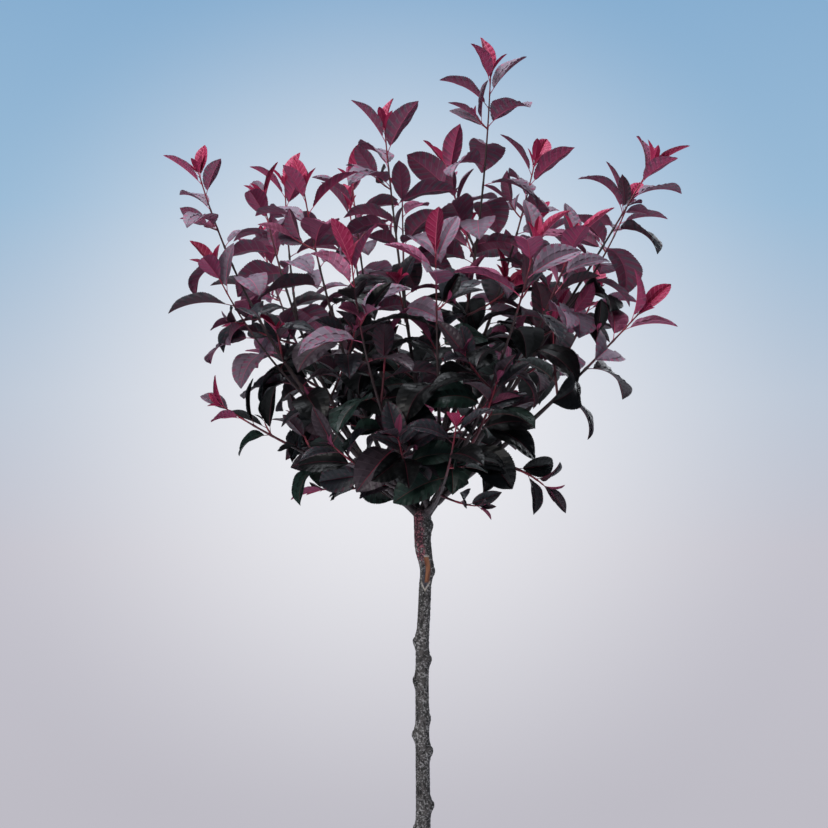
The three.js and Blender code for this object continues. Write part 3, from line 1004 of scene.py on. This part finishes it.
def leaf_points(plan, pattern, dice):
    """A leaf's own blade and stalk: folded, waved and puffed up between its veins, no two alike."""
    draws = [2 * next(dice) - 1 for _ in range(6)]
    row_at, side_of, out_to, layer, puff, tooth, place = pattern
    scale = plan["length"] / leaf_length
    at = row_at + forward * out_to * row_at * (1 - row_at)
    half = (at / peak) ** base_power * ((1 - at) / (1 - peak)) ** tip_power
    half *= plan["width"] / 2 * lerp(*real_width, plan["age"])
    half *= 1 - tip_drawn_in * np.exp(-(((1 - at) / tip_length) ** 2))
    half = np.maximum(half, midrib_half * scale)
    midrib = midrib_half * scale * (1 - midrib_fade * at)
    toothed = tooth * tooth_depth * scale * (1 - tooth_fade * at)
    across = side_of * (midrib + (half - midrib) * out_to + toothed)
    fold = math.radians(lerp(*blade_fold, plan["age"]) + fold_spread * draws[0])
    raised = np.abs(across) * math.sin(fold) * (1 - rim_flatter * out_to)
    across *= math.cos(fold)
    waves = wave_count + wave_count_spread * draws[1]
    wave = np.sin(2 * math.pi * (waves * at + 0.5 * draws[2]) + side_of * (1 + draws[3]))
    raised += wave * out_to**2 * scale * lerp(*wave_height, plan["age"]) * (1 - wave_fade * at)
    raised += puff * np.sin(math.pi * out_to) * puff_height * scale
    wrinkles = wrinkle_dice.uniform(-wrinkle, wrinkle, place.max() + 1)[place] * (layer != 0) * (out_to > 0)
    raised += wrinkles * scale * lerp(wrinkle_by_vein, 1, puff) * (1 - wrinkle_fade * at)
    raised += layer * blade_half_thickness * (1 - out_to**2)
    raised -= (side_of == 0) * (layer < 0) * keel_depth * scale * (1 - keel_fade * at)
    raised -= (side_of == 0) * (layer > 0) * groove_depth
    raised -= (1 + draws[4]) * lerp(*tip_droop, plan["age"]) * at**3
    twist = math.radians(twist_spread * draws[5])
    blade_at = stalk_share + (1 - stalk_share) * (at + tooth * tooth_lean)
    out = stalk_out * scale**0.5
    stalk_up = out * np.cos(stalk_turn) - stalk_drop
    blade = along_leaf(plan, blade_at, across, raised, twist)
    return blade, along_leaf(plan, stalk_at, out * np.sin(stalk_turn), stalk_up, twist)


# The leaves' colours: the upper face, the side veins on it, the under face, and the midrib and stalk. Light
# and
# shade are painted into them: the tip, young, light and wine tints have under faces brightened as painted
# light shining through, and light, young and wine a pale painted sheen on the upper face; middle, inner,
# green and dusk are darkened with painted shade.
tints = {
    "tip": ((148, 38, 72), (194, 90, 122), (172, 50, 90), (218, 110, 138)),
    "young": ((130, 74, 100), (160, 98, 124), (162, 70, 106), (192, 74, 108)),
    "light": ((112, 98, 112), (136, 106, 124), (136, 76, 102), (174, 82, 114)),
    "middle": ((42, 44, 49), (58, 58, 66), (72, 46, 57), (98, 42, 58)),
    "inner": ((8, 10, 11), (15, 18, 19), (10, 12, 12), (70, 26, 38)),
    "green": ((29, 47, 41), (40, 60, 52), (22, 29, 26), (92, 58, 58)),
    "dusk": ((64, 54, 61), (79, 66, 74), (54, 44, 51), (126, 46, 66)),
    "wine": ((122, 60, 86), (146, 84, 110), (140, 68, 98), (184, 70, 104)),
}
tint_names = list(tints)
dark_tints = ("middle", "inner", "green", "dusk")

# The tints by where a leaf stands, each with the share of the leaves there that it and those before it take
tint_shares = {
    "lit tip": (("tip", 1),),
    "shaded tip": (("wine", 0.35), ("dusk", 1)),
    "young and lit": (("young", 0.6), ("light", 1)),
    "young and shaded": (("middle", 1),),
    "lit": (("light", 0.86), ("wine", 0.93), ("middle", 1)),
    "half lit": (("middle", 0.42), ("light", 0.74), ("wine", 0.8), ("inner", 1)),
    "shaded": (("green", 0.19), ("inner", 0.72), ("dusk", 0.88), ("middle", 1)),
}
tip_within, young_within = 13, 40

# Light grows from 0 to 1 up the crown and out from its axis, and the outermost leaves count as lit
light_from, light_over, light_by_height = 900, 230, 0.8
crown_reach = 220
outermost = 0.78
tip_light, young_light, half_light, full_light = 0.42, 0.5, 0.36, 0.6


def tint_of(plan, dice):
    """Which tint a leaf wears, from how young it is, with painted light and shade from how much light it
    stands in.
    """
    spot, chance = plan["root"], next(dice)
    out = math.hypot(spot.x, spot.y) / crown_reach
    light = lerp(clamp(out), clamp((spot.z - light_from) / light_over), light_by_height)
    if plan["from_tip"] < tip_within:
        stands = "lit tip" if light > tip_light or out > outermost else "shaded tip"
    elif plan["from_tip"] < young_within:
        stands = "young and shaded" if light < young_light and out < outermost else "young and lit"
    else:
        stands = "lit" if light > full_light else "half lit" if light > half_light else "shaded"
    return next(tint for tint, up_to in tint_shares[stands] if chance < up_to)


# Dark leaves are glossier than the paler ones, whose colours already hold a painted sheen
leaf_finishes = []
for tint, colours in tints.items():
    roughness, shine = (0.42, 0.26) if tint in dark_tints else (0.58, 0.2)
    for part, colour in zip(("upper", "side_veins", "under", "midrib"), colours):
        finish = Finish(f"leaf_{tint}_{part}", Base_Color=from_srgb(*colour), Roughness=roughness,
                        Specular_IOR_Level=shine)
        leaf_finishes.append(finish.material)

# The leaves are joined into six pieces by part of the crown
regions = {
    "leader": ("top", "middle", "top_right", "front_middle"),
    "left": ("left", "left_inner", "middle_left"),
    "left_back": ("inner_left", "front_left", "back_left"),
    "right": ("right", "right_inner", "lower_right", "front"),
    "right_back": ("right_back", "back", "back_right"),
    "skirt": tuple(name for name in grown if name.startswith("low_")) + ("inner_right",),
}
leaf_sharp_from = 60


def joined_mesh(name, points, faces, slots, materials):
    """One mesh object from many small shapes, with a material slot for each face."""
    mesh = bpy.data.meshes.new(name)
    mesh.from_pydata((np.vstack(points) * mm).tolist(), [], faces)
    for material in materials:
        mesh.materials.append(material)
    mesh.polygons.foreach_set("material_index", slots)
    piece = bpy.data.objects.new(name, mesh)
    bpy.context.scene.collection.objects.link(piece)
    bpy.ops.object.select_all(action="DESELECT")
    piece.select_set(True)
    bpy.context.view_layer.objects.active = piece
    bpy.ops.object.shade_smooth_by_angle(angle=math.radians(leaf_sharp_from))
    return piece


for region, names in regions.items():
    points, faces, slots, first = [], [], [], 0
    for mass in [mass for mass in masses if mass["name"] in names]:
        for plan in mass["leaves"]:
            first_slot = len(tints["tip"]) * tint_names.index(tint_of(plan, mass["dice"]))
            pattern, *blade_parts = full_blade if plan["length"] > small_below else small_blade
            blade, stalk = leaf_points(plan, pattern, mass["dice"])
            for part, (part_faces, part_slots) in ((blade, blade_parts), (stalk, (stalk_faces, stalk_slots))):
                points.append(part)
                faces.extend(tuple(corner + first for corner in face) for face in part_faces)
                slots.extend(first_slot + slot for slot in part_slots)
                first += len(part)
    leaves = joined_mesh(f"leaves_of_{region}", points, faces, slots, leaf_finishes)
    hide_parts(*["leaves_" + name for name in names])
    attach(leaves, "root")


# The twigs' own mesh: round shoots that swell a little at each leaf, brown where they are old and red where
# they are soft, each sunk in the limb or twig that it springs from.
twig_ring_every = 4
fewest_twig_rings = 3
twig_sides = 8
fine_tip = 0.62
fine_taper = 0.8
node_swell = 0.3
node_half = 2.2

# A tip is rounded over this length, to this share of its area, and is red and then wine as far as this
round_length, round_share = 2, 0.04
red_length, wine_length = 30, 75

twig_finishes = [
    Finish("twig_brown", Base_Color=from_srgb(56, 40, 43), Roughness=0.62).material,
    Finish("twig_wine", Base_Color=from_srgb(88, 38, 48), Roughness=0.55).material,
    Finish("twig_red", Base_Color=from_srgb(134, 44, 60), Roughness=0.5).material,
]
brown, wine, red = range(len(twig_finishes))
points, faces, slots, first = [], [], [], 0
for mass in masses:
    for twig in mass["twigs"]:
        rod, start = twig["rod"], twig["from"]
        length = rod.length * (1 - start)
        rings = max(int(length / twig_ring_every), fewest_twig_rings)
        for ring in range(rings + 1):
            share = ring / rings
            t = lerp(start, 1, share)
            from_tip = length - share * length
            _, side, back = rod.frame(t)
            swell = sum(math.exp(-(((t - node) * rod.length / node_half) ** 2)) for node in twig["nodes"])
            radius = lerp(twig["radius"], fine_tip, share**fine_taper) * (1 + node_swell * min(swell, 1))
            rounded = clamp((round_length - from_tip) / round_length)
            radius *= math.sqrt(max(1 - rounded**2, round_share))
            turns = [2 * math.pi * corner / twig_sides for corner in range(twig_sides)]
            points.append(np.array([rod.point(t) + (side * math.cos(turn) + back * math.sin(turn)) * radius
                                    for turn in turns]))
            if ring:
                colour = red if from_tip < red_length else wine if from_tip < wine_length else brown
                slots += [colour] * twig_sides
        last = first + rings * twig_sides
        faces += tube_wall(twig_sides, rings, first)
        faces += [tuple(reversed(range(first, first + twig_sides))), tuple(range(last, last + twig_sides))]
        slots += [brown, red]
        first = last + twig_sides
twigs = joined_mesh("twigs", points, faces, slots, twig_finishes)
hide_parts(*["leaves_" + name for name in grown])
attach(twigs, "root")


# The floor, the lights and the camera, which are not part of the plant. The camera looks level at the middle
# of the crown from far off, and the frame cuts the stem below the crown as the photograph does.
floor_finish = Finish("pale_floor", Base_Color=from_srgb(226, 228, 232), Roughness=0.85)
bpy.ops.object.select_all(action="DESELECT")
bpy.ops.mesh.primitive_circle_add(vertices=96, radius=2.4, fill_type="NGON", location=(0, 0, -0.0002))
floor = bpy.context.object
floor.name = "floor"
floor.data.materials.append(floor_finish.material)

# The camera sees a sky that runs from grey below to blue above and is brighter behind the crown. The plant
# itself is lit by a plain blue one.
sky_low, sky_high = -0.2, 0.2
sky_stops = [
    (0.1, (190, 188, 197)),
    (0.36, (196, 195, 205)),
    (0.52, (186, 198, 214)),
    (0.72, (154, 187, 215)),
    (0.95, (134, 173, 208)),
]
glow_place, glow_reach = (-0.01, 1, 0.005), 0.2

world = bpy.data.worlds.new("studio")
bpy.context.scene.world = world
world.use_nodes = True
sky = Nodes(world.node_tree)
direction = sky.node("ShaderNodeTexCoord", {}, {}, "Generated")
upward = sky.node("ShaderNodeSeparateXYZ", {}, {"Vector": direction}, "Z")
height = sky.node("ShaderNodeMapRange", {}, {"Value": upward, "From Min": sky_low, "From Max": sky_high})
plain_sky = sky.node("ShaderNodeValToRGB", {"stops": sky_stops}, {"Fac": height})
off_glow = sky.node("ShaderNodeVectorMath", {"operation": "DISTANCE"}, {0: direction, 1: glow_place}, "Value")
glow = sky.step(off_glow, glow_reach, 0)
seen = sky.node("ShaderNodeBackground", {}, {"Color": sky.mix(plain_sky, from_srgb(238, 238, 242), glow)})
by_camera = sky.node("ShaderNodeLightPath", {}, {}, "Is Camera Ray")
lighting = sky.nodes["Background"]
lighting.inputs["Color"].default_value = (0.62, 0.74, 0.95, 1)
lighting.inputs["Strength"].default_value = 0.1
both = sky.node("ShaderNodeMixShader", {}, {0: by_camera, 1: Wire(sky, lighting.outputs[0]), 2: seen})
sky.feed(sky.nodes["World Output"].inputs["Surface"], both)


def add_softbox(name, place, size, power, colour):
    """A square studio light that faces the crown."""
    light = bpy.data.lights.new(name, "AREA")
    light.shape, light.size, light.energy, light.color = "SQUARE", size, power, colour
    box = bpy.data.objects.new(name, light)
    bpy.context.scene.collection.objects.link(box)
    box.location = place
    box.rotation_euler = (Vector((0, 0, 1.05)) - Vector(place)).to_track_quat("-Z", "Y").to_euler()


add_softbox("top_light", (-0.4, 0.1, 3.4), 1.8, 110, (0.9, 0.94, 1.0))
add_softbox("front_light", (-1.3, -3.0, 2.4), 1.4, 62, (1.0, 0.97, 0.95))
add_softbox("back_light", (1.4, 2.6, 2.2), 1.8, 30, (0.9, 0.95, 1.0))

# The view is so wide at the plant's own distance
camera_place = (-10.5, -2500, 903.4)
view_width = 869.4
camera_data = bpy.data.cameras.new("camera")
camera = bpy.data.objects.new("camera", camera_data)
bpy.context.scene.collection.objects.link(camera)
camera.location = Vector(camera_place) * mm
camera.rotation_euler = (math.radians(90), 0, 0)
camera_data.lens = camera_data.sensor_width * -camera_place[1] / view_width
bpy.context.scene.camera = camera
bpy.context.scene.view_settings.view_transform = "Standard"
